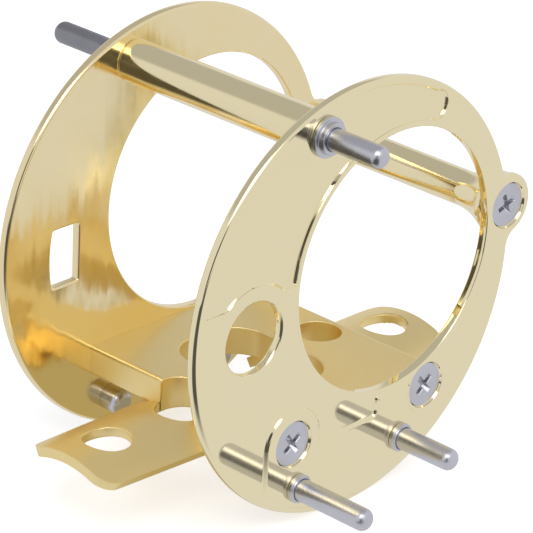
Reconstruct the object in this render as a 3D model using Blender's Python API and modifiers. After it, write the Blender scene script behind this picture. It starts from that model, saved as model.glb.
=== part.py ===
"""Bare frame of a small round multiplier fishing reel, in metres with +Z up.

Two round side plates are screwed to the ends of a milled foot bridge. A plain pillar at the top and a flared
pillar between the rear lugs hold them apart. +X runs from the left plate to the right plate, and +Y to the
rear. The origin is on the seat of the foot, at the crown of its arch, under the plates' common centre.
"""

import math

import bmesh
import bpy

# Side plates: round, with a rounded edge all along the outline and the openings
PLATE_RADIUS = 0.0250
PLATE_THICKNESS = 0.0012
PLATE_EDGE_ROUND = 0.00045
INSIDE_WIDTH = 0.02814
SEAT_ABOVE_RIM = 0.00855

# Rear lugs, centred on the rim
LUG_ANGLE = 9.2
LUG_RADIUS = 0.0040
LUG_FILLET = 0.0020

# Spool opening of both plates: the narrowest wall to the rim, the wall above the saddle, and the way it is offset
OPENING_RIM_WALL = 0.00325
OPENING_SADDLE_WALL = 0.0002
OPENING_ANGLE = 24.2

# Round hole of the right plate, with its raised ring
GUIDE_HOLE_RADIUS = 0.0041
GUIDE_HOLE_INSET = 0.0090
GUIDE_RING_WIDTH = 0.0019

# Shallow recess on the right plate's outer face
RECESS_DEPTH = 0.0003
RECESS_RIM_LIP = 0.0009
RECESS_OPENING_LIP = 0.0009
RECESS_BELOW_RING_TOP = 0.0016
RECESS_REAR_REACH = 0.0060

# Window of the left plate
WINDOW_WIDTH = 0.00385
WINDOW_HEIGHT = 0.0069
WINDOW_INSET = 0.00725
WINDOW_DROP = 0.00045
WINDOW_BULGE = 0.00035

# Foot: an arched strip whose underside seats on the rod
SEAT_RADIUS = 0.01146
FOOT_THICKNESS = 0.0012
FOOT_ROOT_WIDTH = 0.0135
FOOT_TIP_WIDTH = 0.0127
FOOT_FRONT_REACH = 0.0167
FOOT_REAR_REACH = 0.01225
FOOT_CORNER = 0.0023
FOOT_EDGE_ROUND = 0.0004
FOOT_HOLE_RADIUS = 0.0027
FRONT_TIP_HOLE_INSET = 0.0060
REAR_TIP_HOLE_INSET = 0.0045
NOTCH_INSET = 0.00023
SADDLE_HOLE_INSET = 0.0036

# Saddle: the bar between the plates, open in the middle
SADDLE_TOP = 0.0037
SADDLE_UNDERSIDE = 0.0002
SADDLE_FRONT_INSET = 0.0071
SADDLE_REAR_INSET = 0.0045
SADDLE_EDGE_ROUND = 0.0005
SADDLE_FRONT_BAR = 0.0058
SADDLE_REAR_BAR = 0.0088
SADDLE_SIDE_BAR = 0.0059
SADDLE_WINDOW_CORNER = 0.00425

# Pillars
TOP_PILLAR_RADIUS = 0.0025
TOP_PILLAR_INSET = 0.0038
TOP_PILLAR_ANGLE = 106.6
REAR_PILLAR_RADIUS = 0.0021
REAR_PILLAR_FLARE_RADIUS = 0.0035
REAR_PILLAR_FLARE_LENGTH = 0.0052
REAR_PILLAR_LIP = 0.0008
PILLAR_EDGE = 0.0002

# Studs, collars and domed nuts
STUD_RADIUS = 0.001275
STUD_TIP_ROUND = 0.0007
STUD_GRIP = 0.0060
RIGHT_TOP_STUD_REACH = 0.0090
LEFT_TOP_STUD_REACH = 0.0110
COLLAR_RADIUS = 0.00245
COLLAR_THICKNESS = 0.0006
COLLAR_SHOULDER_RADIUS = 0.0018
COLLAR_SHOULDER_HEIGHT = 0.0013
FRONT_STUD_REACH = 0.0110
FRONT_STUD_INSET = 0.0032
FRONT_STUD_ANGLE = -113.3
REAR_STUD_REACH = 0.00875
REAR_STUD_INSET = 0.00425
REAR_STUD_ANGLE = -68.1
STUD_FLANGE_RADIUS = 0.0020
STUD_FLANGE_THICKNESS = 0.0004
STUD_SHOULDER_RADIUS = 0.0016
STUD_SHOULDER_HEIGHT = 0.0012
STUD_TAIL_RADIUS = 0.0009
STUD_TAIL_GRIP = 0.0013
NUT_RADIUS = 0.0015
NUT_LENGTH = 0.0026
NUT_DOME = 0.0009

# Countersunk screws
SCREW_HEAD_RADIUS = 0.0026
SCREW_SHANK_RADIUS = 0.0011
SCREW_GRIP = 0.0045
SCREW_SINK = 0.0001
FRONT_SCREW_SINK = 0.0003
SCREW_LAND = 0.0002
FRONT_SCREW_DISH_RADIUS = 0.0036
FRONT_SCREW_INSET = 0.00225
REAR_SCREW_INSET = 0.0020

# Fits
SEAT_GAP = 0.0002
CUT_PAST = 0.0010

# Facets
RIM_STEPS = 72
OPENING_STEPS = 54
HOLE_STEPS = 24
ARC_STEPS = 6
TURN_STEPS = 20
FLARE_STEPS = 8
FOOT_COLUMNS = 14
FOOT_CORNER_ROWS = 5
SHARP_ANGLE = math.radians(35)
WELD_DISTANCE = 1e-6

# Places that follow from the sizes above; a spot is (y, z) from the plates' centre
AXIS_HEIGHT = PLATE_RADIUS - SEAT_ABOVE_RIM
INNER_FACE = INSIDE_WIDTH / 2
OUTER_FACE = INNER_FACE + PLATE_THICKNESS
SEAT_CHORD = math.sqrt(PLATE_RADIUS**2 - AXIS_HEIGHT**2)
SADDLE_FRONT = -(SEAT_CHORD - SADDLE_FRONT_INSET)
SADDLE_REAR = SEAT_CHORD - SADDLE_REAR_INSET
SCREW_LEVEL = (SADDLE_TOP + SADDLE_UNDERSIDE) / 2 - AXIS_HEIGHT
SCREW_HEAD_DEPTH = PLATE_THICKNESS - FRONT_SCREW_SINK - SCREW_LAND
SIDES = (("right", 1), ("left", -1))

GOLD_MIRROR = {"colour": (0.82, 0.66, 0.33), "roughness": 0.07}
GOLD_SATIN = {"colour": (0.72, 0.60, 0.37), "roughness": 0.28}
STEEL = {"colour": (0.56, 0.55, 0.57), "roughness": 0.18}


def rim_spot(inset, angle):
    """The spot that lies this far inside the rim, at this angle in degrees from the rear."""
    reach = PLATE_RADIUS - inset
    return reach * math.cos(math.radians(angle)), reach * math.sin(math.radians(angle))


TOP_SPOT = rim_spot(TOP_PILLAR_INSET, TOP_PILLAR_ANGLE)
LUG_SPOT = rim_spot(0, LUG_ANGLE)
GUIDE_SPOT = rim_spot(GUIDE_HOLE_INSET, 180)
FRONT_STUD_SPOT = rim_spot(FRONT_STUD_INSET, FRONT_STUD_ANGLE)
REAR_STUD_SPOT = rim_spot(REAR_STUD_INSET, REAR_STUD_ANGLE)
FRONT_SCREW_SPOT = (SADDLE_FRONT + FRONT_SCREW_INSET, SCREW_LEVEL)
REAR_SCREW_SPOT = (SADDLE_REAR - REAR_SCREW_INSET, SCREW_LEVEL)


def arc(centre, radius, start, end, steps):
    """Points on a circle from the start angle up to, and without, the end angle, in radians."""
    angles = [start + (end - start) * i / steps for i in range(steps)]
    return [(centre[0] + radius * math.cos(a), centre[1] + radius * math.sin(a)) for a in angles]


def bearing(start, end):
    """Angle of the line from one spot to another."""
    return math.atan2(end[1] - start[1], end[0] - start[0])


def turn_from(start, end):
    """The end angle, moved by whole turns to lie within half a turn of the start angle."""
    return start + (end - start + math.pi) % math.tau - math.pi


def plate_outline():
    """Rim of a side plate: a circle with a round lug at the rear, and a fillet on each side of the lug."""
    lug_angle = math.radians(LUG_ANGLE)
    rim_reach = PLATE_RADIUS + LUG_FILLET
    lug_reach = LUG_RADIUS + LUG_FILLET
    spread = math.acos((rim_reach**2 + PLATE_RADIUS**2 - lug_reach**2) / (2 * rim_reach * PLATE_RADIUS))
    lower = lug_angle - spread
    upper = lug_angle + spread
    below = (rim_reach * math.cos(lower), rim_reach * math.sin(lower))
    above = (rim_reach * math.cos(upper), rim_reach * math.sin(upper))
    to_lower_lug = turn_from(lower + math.pi, bearing(below, LUG_SPOT))
    from_upper_lug = turn_from(upper + math.pi, bearing(above, LUG_SPOT))
    lug_start = turn_from(lug_angle - math.pi / 2, bearing(LUG_SPOT, below))
    lug_end = turn_from(lug_angle + math.pi / 2, bearing(LUG_SPOT, above))
    return (
        arc((0, 0), PLATE_RADIUS, upper, lower + math.tau, RIM_STEPS)
        + arc(below, LUG_FILLET, lower + math.pi, to_lower_lug, ARC_STEPS)
        + arc(LUG_SPOT, LUG_RADIUS, lug_start, lug_end, 2 * ARC_STEPS)
        + arc(above, LUG_FILLET, from_upper_lug, upper + math.pi, ARC_STEPS)
    )


def spool_opening():
    """Centre and radius of the circle that leaves the two walls to the rim and above the saddle."""
    lean = math.sin(math.radians(OPENING_ANGLE))
    reach = PLATE_RADIUS - OPENING_RIM_WALL
    lowest = SADDLE_TOP + OPENING_SADDLE_WALL - AXIS_HEIGHT
    radius = (reach * lean - lowest) / (1 + lean)
    return rim_spot(OPENING_RIM_WALL + radius, OPENING_ANGLE), radius


def window_outline():
    """Upright window of the left plate, whose front side bulges a little."""
    front = -(PLATE_RADIUS - WINDOW_INSET)
    rear = front + WINDOW_WIDTH
    half = WINDOW_HEIGHT / 2
    bulge_radius = (half**2 + WINDOW_BULGE**2) / (2 * WINDOW_BULGE)
    swing = math.asin(half / bulge_radius)
    centre = (front - WINDOW_BULGE + bulge_radius, -WINDOW_DROP)
    side = arc(centre, bulge_radius, math.pi - swing, math.pi + swing, ARC_STEPS)
    return side + [(front, -half - WINDOW_DROP), (rear, -half - WINDOW_DROP), (rear, half - WINDOW_DROP)]


def recess_outline(opening_centre, opening_radius):
    """Upper front field of the right plate, between the rim and the opening, that passes over the hole's ring."""
    outer = PLATE_RADIUS - RECESS_RIM_LIP
    inner = opening_radius + RECESS_OPENING_LIP
    ring = GUIDE_HOLE_RADIUS + GUIDE_RING_WIDTH
    ring_rise = ring - RECESS_BELOW_RING_TOP
    low = GUIDE_SPOT[1] + ring_rise
    rear = opening_centre[0] + RECESS_REAR_REACH
    ring_swing = math.asin(ring_rise / ring)
    inner_start = math.pi - math.asin((low - opening_centre[1]) / inner)
    inner_end = math.acos(RECESS_REAR_REACH / inner)
    inner_corner = (rear, opening_centre[1] + inner * math.sin(inner_end))
    outer_end = math.pi - math.asin(low / outer)
    return (
        arc((0, 0), outer, math.acos(rear / outer), outer_end, OPENING_STEPS // 2)
        + [(outer * math.cos(outer_end), low)]
        + arc(GUIDE_SPOT, ring, math.pi - ring_swing, ring_swing, 2 * ARC_STEPS)
        + [(GUIDE_SPOT[0] + ring * math.cos(ring_swing), low)]
        + arc(opening_centre, inner, inner_start, inner_end, OPENING_STEPS // 2)
        + [inner_corner]
    )


def collection(name):
    """A new collection in the scene."""
    made = bpy.data.collections.new(name)
    bpy.context.scene.collection.children.link(made)
    return made


def as_mesh(source):
    """Turns a curve, or a mesh with modifiers, into a plain welded mesh object of the same name and place."""
    bpy.context.view_layer.update()
    evaluated = source.evaluated_get(bpy.context.evaluated_depsgraph_get())
    mesh = bpy.data.meshes.new_from_object(evaluated)
    shape = bmesh.new()
    shape.from_mesh(mesh)
    bmesh.ops.remove_doubles(shape, verts=shape.verts, dist=WELD_DISTANCE)
    shape.to_mesh(mesh)
    shape.free()
    mesh.shade_smooth()
    mesh.set_sharp_from_angle(angle=SHARP_ANGLE)
    name = source.name
    made = bpy.data.objects.new(name, mesh)
    made.matrix_world = source.matrix_world.copy()
    for home in source.users_collection:
        home.objects.link(made)
    bpy.data.objects.remove(source)
    made.name = name
    return made


def flat_piece(name, home, outlines, thickness, edge_round=0.0):
    """A plate drawn by closed outlines in its own XY plane, centred on that plane, with rounded edges."""
    curve = bpy.data.curves.new(name, "CURVE")
    curve.dimensions = "2D"
    curve.fill_mode = "BOTH"
    curve.extrude = thickness / 2 - edge_round
    curve.bevel_depth = edge_round
    curve.bevel_resolution = 1
    curve.offset = -edge_round
    for outline in outlines:
        spline = curve.splines.new("POLY")
        spline.points.add(len(outline) - 1)
        for point, (across, up) in zip(spline.points, outline):
            point.co = (across, up, 0, 1)
        spline.use_cyclic_u = True
    piece = bpy.data.objects.new(name, curve)
    home.objects.link(piece)
    return piece


def turned_piece(name, home, profile):
    """A turned solid about its own Z axis, from (radius, height) points that run down its outer side."""
    shape = bmesh.new()
    points = [shape.verts.new((radius, 0, height)) for radius, height in profile]
    for first, second in zip(points, points[1:]):
        shape.edges.new((first, second))
    if profile[0][0] > 0:
        shape.edges.new((points[-1], points[0]))
    mesh = bpy.data.meshes.new(name)
    shape.to_mesh(mesh)
    shape.free()
    piece = bpy.data.objects.new(name, mesh)
    home.objects.link(piece)
    turn = piece.modifiers.new("Turn", "SCREW")
    turn.steps = TURN_STEPS
    turn.render_steps = TURN_STEPS
    turn.use_merge_vertices = True
    turn.merge_threshold = WELD_DISTANCE
    return as_mesh(piece)


def upright_plate(piece, x):
    """Stands a flat piece up, its own X along +Y and its own Y along +Z, at this place across the frame."""
    piece.rotation_euler = (math.pi / 2, 0, math.pi / 2)
    piece.location = (x, 0, AXIS_HEIGHT)
    return piece


def across(piece, spot, x, sign):
    """Lays a turned piece across the frame on this spot, its own +Z along sign times +X."""
    piece.rotation_euler = (0, sign * math.pi / 2, 0)
    piece.location = (x, spot[0], AXIS_HEIGHT + spot[1])
    return piece


def cut_by(target, tool, operation="DIFFERENCE"):
    """Cuts the target with a hidden tool, or joins the two."""
    tool.hide_render = True
    tool.display_type = "WIRE"
    boolean = target.modifiers.new(tool.name, "BOOLEAN")
    boolean.operation = operation
    boolean.solver = "EXACT"
    boolean.object = tool


def finish(piece, look):
    """Gives a piece a metal of its own with this colour and roughness."""
    metal = bpy.data.materials.new(piece.name + "_metal")
    metal.use_nodes = True
    shader = metal.node_tree.nodes["Principled BSDF"]
    shader.inputs["Base Color"].default_value = (*look["colour"], 1)
    shader.inputs["Metallic"].default_value = 1.0
    shader.inputs["Roughness"].default_value = look["roughness"]
    piece.data.materials.clear()
    piece.data.materials.append(metal)


def plain_bore(name, home, radius, half_length):
    """A round cutter, centred on its own middle."""
    bore = [(0, half_length), (radius, half_length), (radius, -half_length), (0, -half_length)]
    return turned_piece(name, home, bore)


def countersink(name, home, sink, dish_radius):
    """Cutter for a screw whose head lies this far below the face, where its dish has this radius."""
    head = SCREW_HEAD_RADIUS + SEAT_GAP
    shank = SCREW_SHANK_RADIUS + SEAT_GAP
    flare = (dish_radius - head) * CUT_PAST / sink
    profile = [
        (0, CUT_PAST),
        (dish_radius + flare, CUT_PAST),
        (head, -sink),
        (shank, -sink - SCREW_HEAD_DEPTH),
        (shank, -PLATE_THICKNESS - CUT_PAST),
        (0, -PLATE_THICKNESS - CUT_PAST),
    ]
    return turned_piece(name, home, profile)


def screw_places(side):
    """Name, spot, sink and dish radius of the three screws in one plate."""
    flush = (SCREW_SINK, SCREW_HEAD_RADIUS + SEAT_GAP)
    front = (FRONT_SCREW_SINK, FRONT_SCREW_DISH_RADIUS) if side == "right" else flush
    return (
        ("lug_screw", LUG_SPOT, *flush),
        ("front_screw", FRONT_SCREW_SPOT, *front),
        ("rear_screw", REAR_SCREW_SPOT, *flush),
    )


def side_plate(side, sign, parts, cutters):
    """One side plate with its openings, countersinks and stud holes; the right one also has the recess."""
    middle = sign * (INNER_FACE + OUTER_FACE) / 2
    centre, radius = spool_opening()
    second = arc(GUIDE_SPOT, GUIDE_HOLE_RADIUS, 0, math.tau, HOLE_STEPS) if side == "right" else window_outline()
    outlines = [plate_outline(), arc(centre, radius, 0, math.tau, OPENING_STEPS), second]
    drawn = flat_piece(side + "_side_plate", parts, outlines, PLATE_THICKNESS, PLATE_EDGE_ROUND)
    plate = as_mesh(upright_plate(drawn, middle))
    if side == "right":
        field = flat_piece("recess_cutter", cutters, [recess_outline(centre, radius)], 2 * RECESS_DEPTH)
        cut_by(plate, as_mesh(upright_plate(field, sign * OUTER_FACE)))
    for name, spot, sink, dish in screw_places(side):
        tool = countersink(f"{side}_{name}_cutter", cutters, sink, dish)
        cut_by(plate, across(tool, spot, sign * OUTER_FACE, sign))
    for name, spot, hole in (
        ("top_stud", TOP_SPOT, STUD_RADIUS),
        ("front_stud", FRONT_STUD_SPOT, STUD_TAIL_RADIUS),
        ("rear_stud", REAR_STUD_SPOT, STUD_TAIL_RADIUS),
    ):
        tool = plain_bore(f"{side}_{name}_cutter", cutters, hole + SEAT_GAP, PLATE_THICKNESS / 2 + CUT_PAST)
        cut_by(plate, across(tool, spot, middle, sign))
    finish(plate, GOLD_MIRROR)
    return plate


def foot_rows():
    """(y, half width) of each row of the foot strip from front to rear, with rounded corners at both tips."""
    front = SADDLE_FRONT - FOOT_FRONT_REACH
    rear = SADDLE_REAR + FOOT_REAR_REACH
    inset = FOOT_TIP_WIDTH / 2 - FOOT_CORNER
    corner = []
    for i in range(FOOT_CORNER_ROWS):
        angle = math.pi / 2 * i / (FOOT_CORNER_ROWS - 1)
        corner.append((FOOT_CORNER * (1 - math.cos(angle)), inset + FOOT_CORNER * math.sin(angle)))
    front_rows = [(front + back, half) for back, half in corner]
    rear_rows = [(rear - back, half) for back, half in reversed(corner)]
    root = FOOT_ROOT_WIDTH / 2
    return front_rows + [(SADDLE_FRONT, root), (SADDLE_REAR, root)] + rear_rows


def foot_strip(name, home):
    """The arched strip of the foot: a grid laid on a cylinder along Y, thickened downwards."""
    rows = foot_rows()
    shape = bmesh.new()
    bmesh.ops.create_grid(shape, x_segments=FOOT_COLUMNS, y_segments=len(rows) - 1, size=1)
    top_radius = SEAT_RADIUS + FOOT_THICKNESS
    for vertex in shape.verts:
        y, half = rows[round((vertex.co.y + 1) / 2 * (len(rows) - 1))]
        x = vertex.co.x * half
        vertex.co = (x, y, FOOT_THICKNESS - top_radius + math.sqrt(top_radius**2 - x**2))
    mesh = bpy.data.meshes.new(name)
    shape.to_mesh(mesh)
    shape.free()
    strip = bpy.data.objects.new(name, mesh)
    home.objects.link(strip)
    thicken = strip.modifiers.new("Thickness", "SOLIDIFY")
    thicken.thickness = FOOT_THICKNESS
    thicken.offset = -1
    thicken.use_even_offset = True
    edges = strip.modifiers.new("Edges", "BEVEL")
    edges.width = FOOT_EDGE_ROUND
    edges.segments = 2
    edges.limit_method = "ANGLE"
    edges.angle_limit = math.radians(60)
    return as_mesh(strip)


def saddle_block(home):
    """The plain bar of the saddle, from plate to plate, with rounded edges."""
    shape = bmesh.new()
    bmesh.ops.create_cube(shape, size=1)
    size = (2 * (INNER_FACE - SEAT_GAP), SADDLE_REAR - SADDLE_FRONT, SADDLE_TOP - SADDLE_UNDERSIDE)
    bmesh.ops.scale(shape, vec=size, verts=shape.verts)
    mesh = bpy.data.meshes.new("saddle_block")
    shape.to_mesh(mesh)
    shape.free()
    block = bpy.data.objects.new("saddle_block", mesh)
    home.objects.link(block)
    block.location = (0, (SADDLE_FRONT + SADDLE_REAR) / 2, (SADDLE_TOP + SADDLE_UNDERSIDE) / 2)
    edges = block.modifiers.new("Edges", "BEVEL")
    edges.width = SADDLE_EDGE_ROUND
    edges.segments = 2
    return as_mesh(block)


def saddle_window():
    """Rounded rectangle open through the middle of the saddle, between its four bars."""
    side = INNER_FACE - SADDLE_SIDE_BAR - SADDLE_WINDOW_CORNER
    front = SADDLE_FRONT + SADDLE_FRONT_BAR + SADDLE_WINDOW_CORNER
    rear = SADDLE_REAR - SADDLE_REAR_BAR - SADDLE_WINDOW_CORNER
    points = []
    for quarter, corner in enumerate(((side, rear), (-side, rear), (-side, front), (side, front))):
        start = quarter * math.pi / 2
        points += arc(corner, SADDLE_WINDOW_CORNER, start, start + math.pi / 2, ARC_STEPS)
        points.append(arc(corner, SADDLE_WINDOW_CORNER, start + math.pi / 2, start, 1)[0])
    return points


def foot_bridge(parts, cutters):
    """The milled foot: the arched strip and the saddle in one, with the window, foot holes and screw bores."""
    bridge = foot_strip("foot_bridge", parts)
    cut_by(bridge, saddle_block(cutters), "UNION")
    cut_height = 2 * (SADDLE_TOP + SEAT_RADIUS)
    cut_by(bridge, as_mesh(flat_piece("saddle_window_cutter", cutters, [saddle_window()], cut_height)))
    front = SADDLE_FRONT - FOOT_FRONT_REACH
    rear = SADDLE_REAR + FOOT_REAR_REACH
    for name, y in (
        ("front_tip_hole", front + FRONT_TIP_HOLE_INSET),
        ("saddle_notch", SADDLE_FRONT + NOTCH_INSET),
        ("saddle_hole", SADDLE_REAR - SADDLE_HOLE_INSET),
        ("rear_tip_hole", rear - REAR_TIP_HOLE_INSET),
    ):
        hole = plain_bore(name + "_cutter", cutters, FOOT_HOLE_RADIUS, cut_height / 2)
        hole.location = (0, y, 0)
        cut_by(bridge, hole)
    reach = SCREW_GRIP + SEAT_GAP
    for side, sign in SIDES:
        for name, spot in (("front_bore", FRONT_SCREW_SPOT), ("rear_bore", REAR_SCREW_SPOT)):
            bore = plain_bore(f"{side}_{name}_cutter", cutters, SCREW_SHANK_RADIUS + SEAT_GAP, reach)
            cut_by(bridge, across(bore, spot, sign * INNER_FACE, sign))
    finish(bridge, GOLD_SATIN)
    return bridge


def both_ends(profile):
    """A turned profile that is given for its upper half, with the same again at its lower end."""
    return profile + [(radius, -height) for radius, height in reversed(profile)]


def bored_end(bore_radius, grip):
    """The start of a pillar's profile: a blind bore in the end that meets the plate."""
    end = INNER_FACE - SEAT_GAP
    floor = INNER_FACE - grip - SEAT_GAP
    return end, [(0, floor), (bore_radius, floor), (bore_radius, end)]


def top_pillar(parts):
    """Plain pillar that the top studs screw into."""
    end, profile = bored_end(STUD_RADIUS + SEAT_GAP, STUD_GRIP)
    profile += [(TOP_PILLAR_RADIUS - PILLAR_EDGE, end), (TOP_PILLAR_RADIUS, end - PILLAR_EDGE)]
    pillar = across(turned_piece("top_pillar", parts, both_ends(profile)), TOP_SPOT, 0, 1)
    finish(pillar, GOLD_MIRROR)
    return pillar


def rear_pillar(parts):
    """Pillar between the lugs, whose ends swell like a bell to meet the plates."""
    end, profile = bored_end(SCREW_SHANK_RADIUS + SEAT_GAP, SCREW_GRIP)
    profile.append((REAR_PILLAR_FLARE_RADIUS, end))
    flare = REAR_PILLAR_FLARE_RADIUS - REAR_PILLAR_RADIUS
    length = REAR_PILLAR_FLARE_LENGTH - REAR_PILLAR_LIP
    for i in range(FLARE_STEPS + 1):
        share = i / FLARE_STEPS
        radius = REAR_PILLAR_RADIUS + flare * (1 + math.cos(math.pi * share)) / 2
        profile.append((radius, end - REAR_PILLAR_LIP - length * share))
    pillar = across(turned_piece("rear_pillar", parts, both_ends(profile)), LUG_SPOT, 0, 1)
    finish(pillar, GOLD_MIRROR)
    return pillar


def domed_tip(radius, top, dome):
    """Profile of a rounded end, from its middle out to its full radius."""
    tip = []
    for i in range(ARC_STEPS // 2 + 1):
        angle = math.pi / 2 * i / (ARC_STEPS // 2)
        tip.append((radius - dome + dome * math.sin(angle), top - dome + dome * math.cos(angle)))
    return [(0, top)] + tip


def top_stud(side, sign, reach, parts):
    """Long stud that passes through the plate and its collar into the top pillar."""
    foot = -PLATE_THICKNESS - STUD_GRIP
    profile = domed_tip(STUD_RADIUS, reach, STUD_TIP_ROUND) + [(STUD_RADIUS, foot), (0, foot)]
    stud = across(turned_piece(side + "_top_stud", parts, profile), TOP_SPOT, sign * OUTER_FACE, sign)
    finish(stud, STEEL)
    return stud


def top_collar(side, sign, parts):
    """Flanged collar round the top stud, seated on the plate or on the floor of its recess."""
    seat = SEAT_GAP - (RECESS_DEPTH if side == "right" else 0)
    bore = STUD_RADIUS + SEAT_GAP
    top = seat + COLLAR_SHOULDER_HEIGHT
    flange = seat + COLLAR_THICKNESS
    profile = [
        (bore, top),
        (COLLAR_SHOULDER_RADIUS - PILLAR_EDGE, top),
        (COLLAR_SHOULDER_RADIUS, top - PILLAR_EDGE),
        (COLLAR_SHOULDER_RADIUS, flange),
        (COLLAR_RADIUS - PILLAR_EDGE, flange),
        (COLLAR_RADIUS, flange - PILLAR_EDGE),
        (COLLAR_RADIUS, seat),
        (bore, seat),
    ]
    collar = across(turned_piece(side + "_top_collar", parts, profile), TOP_SPOT, sign * OUTER_FACE, sign)
    finish(collar, STEEL)
    return collar


def lower_stud(name, sign, spot, reach, parts):
    """Stud with a flange on the plate's outer face, a shoulder, and a thin tail through the plate."""
    flange = SEAT_GAP + STUD_FLANGE_THICKNESS
    shoulder = SEAT_GAP + STUD_SHOULDER_HEIGHT
    tail = -PLATE_THICKNESS - SEAT_GAP - STUD_TAIL_GRIP
    profile = domed_tip(STUD_RADIUS, reach, STUD_TIP_ROUND) + [
        (STUD_RADIUS, shoulder),
        (STUD_SHOULDER_RADIUS, shoulder),
        (STUD_SHOULDER_RADIUS, flange),
        (STUD_FLANGE_RADIUS, flange),
        (STUD_FLANGE_RADIUS, SEAT_GAP),
        (STUD_TAIL_RADIUS, SEAT_GAP),
        (STUD_TAIL_RADIUS, tail),
        (0, tail),
    ]
    stud = across(turned_piece(name, parts, profile), spot, sign * OUTER_FACE, sign)
    finish(stud, STEEL)
    return stud


def domed_nut(name, sign, spot, parts):
    """Round nut with a domed end that holds a lower stud's tail on the plate's inner face."""
    bore = STUD_TAIL_RADIUS + SEAT_GAP
    floor = STUD_TAIL_GRIP + 2 * SEAT_GAP
    profile = domed_tip(NUT_RADIUS, NUT_LENGTH, NUT_DOME) + [
        (NUT_RADIUS, SEAT_GAP),
        (bore, SEAT_GAP),
        (bore, floor),
        (0, floor),
    ]
    nut = across(turned_piece(name, parts, profile), spot, sign * INNER_FACE, -sign)
    finish(nut, STEEL)
    return nut


def countersunk_screw(name, sign, spot, sink, parts):
    """Flat-headed screw whose cone ends inside the plate."""
    tail = -PLATE_THICKNESS - SCREW_GRIP
    profile = [
        (0, -sink),
        (SCREW_HEAD_RADIUS, -sink),
        (SCREW_SHANK_RADIUS, -sink - SCREW_HEAD_DEPTH),
        (SCREW_SHANK_RADIUS, tail + PILLAR_EDGE),
        (SCREW_SHANK_RADIUS - PILLAR_EDGE, tail),
        (0, tail),
    ]
    screw = across(turned_piece(name, parts, profile), spot, sign * OUTER_FACE, sign)
    finish(screw, STEEL)
    return screw


def main():
    """Builds the whole frame under one empty at the seat of the foot."""
    for old in list(bpy.data.objects):
        bpy.data.objects.remove(old)
    parts = collection("reel_frame")
    cutters = collection("cutters")
    pieces = [foot_bridge(parts, cutters), top_pillar(parts), rear_pillar(parts)]
    top_reach = {"right": RIGHT_TOP_STUD_REACH, "left": LEFT_TOP_STUD_REACH}
    for side, sign in SIDES:
        pieces.append(side_plate(side, sign, parts, cutters))
        pieces.append(top_stud(side, sign, top_reach[side], parts))
        pieces.append(top_collar(side, sign, parts))
        for place, spot, reach in (
            ("front", FRONT_STUD_SPOT, FRONT_STUD_REACH),
            ("rear", REAR_STUD_SPOT, REAR_STUD_REACH),
        ):
            pieces.append(lower_stud(f"{side}_{place}_stud", sign, spot, reach, parts))
            pieces.append(domed_nut(f"{side}_{place}_stud_nut", sign, spot, parts))
        for name, spot, sink, _ in screw_places(side):
            pieces.append(countersunk_screw(f"{side}_{name}", sign, spot, sink, parts))
    seat = bpy.data.objects.new("rod_seat", None)
    parts.objects.link(seat)
    for piece in pieces:
        piece.parent = seat


main()
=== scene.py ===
"""Looks of the bare frame of a small round multiplier fishing reel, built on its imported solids.

Lengths in this file are millimetres, and angles among the fields of its classes are degrees. Mesh points
become metres as they are made. Across the frame +X runs from the left plate to the right plate, +Y to the
rear and +Z up. A spot is a (y, z) pair in a plate's own plane, measured from the axis that both plates share.
"""

import logging
import math
from collections.abc import Callable, Iterable
from dataclasses import dataclass, field
from enum import Enum
from functools import partial
from typing import Any

import bmesh
import bpy
from mathutils import Matrix, Vector

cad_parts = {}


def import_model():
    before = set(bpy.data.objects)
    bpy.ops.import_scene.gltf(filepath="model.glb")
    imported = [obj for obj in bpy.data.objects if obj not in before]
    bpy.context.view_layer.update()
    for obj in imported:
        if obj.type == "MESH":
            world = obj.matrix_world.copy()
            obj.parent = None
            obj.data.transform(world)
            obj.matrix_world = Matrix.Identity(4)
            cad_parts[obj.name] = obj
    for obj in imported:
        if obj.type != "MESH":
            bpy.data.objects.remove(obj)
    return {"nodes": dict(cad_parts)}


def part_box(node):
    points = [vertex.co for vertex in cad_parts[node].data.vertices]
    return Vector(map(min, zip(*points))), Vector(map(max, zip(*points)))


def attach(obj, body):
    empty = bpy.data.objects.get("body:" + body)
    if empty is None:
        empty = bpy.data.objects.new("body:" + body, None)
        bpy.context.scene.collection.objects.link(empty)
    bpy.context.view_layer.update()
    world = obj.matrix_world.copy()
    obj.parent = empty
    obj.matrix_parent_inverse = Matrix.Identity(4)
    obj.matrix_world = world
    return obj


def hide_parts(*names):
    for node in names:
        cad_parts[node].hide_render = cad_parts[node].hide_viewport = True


LOG = logging.getLogger("reel_frame")

MM = 0.001
BODY = "root"
EDGE_STEPS = 4
ROUND_STEPS = 96
SHARP_ANGLE = math.radians(32)
# A corner that opens wider than this stays as it is
STRAIGHT_ANGLE = math.pi - math.radians(20)
# A rounding takes at most this share of a side
CORNER_SHARE = 0.45
# A corner of a loop moves further than its sides, by the inverse of a cosine that counts down to this
MITRE_COSINE = 0.5
# Points closer than this, in metres, are one
WELD = MM * 1e-3
FLAT_LAYER = "flat_field"
# Shares of red, green and blue in white paper's cool daylight
DAYLIGHT = (0.985, 1.0, 1.06)
# A turned surface's grain is so many times closer along X, the axis, than round it
LATHE_RINGS = (8.0, 1.0, 1.0)
# Inputs of a map range node by number, as each of their names is on it twice
FROM_LOW, FROM_HIGH, TO_LOW, TO_HIGH = 1, 2, 3, 4

Colour = tuple[float, float, float, float]
Place = tuple[float, float, float]
Pair = tuple[float, float]
Spot = tuple[float, float]
Loop = list[Spot]
Ring = list[Vector]
Piece = bpy.types.Object
Shape = bmesh.types.BMesh
Verts = list[bmesh.types.BMVert]
Tree = bpy.types.NodeTree
Socket = bpy.types.NodeSocket


class Side(Enum):
    """The two ends of the frame; the value is the sign of the way out along X."""

    RIGHT = 1
    LEFT = -1

    @property
    def word(self) -> str:
        """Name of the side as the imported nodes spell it."""
        return self.name.lower()


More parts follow.
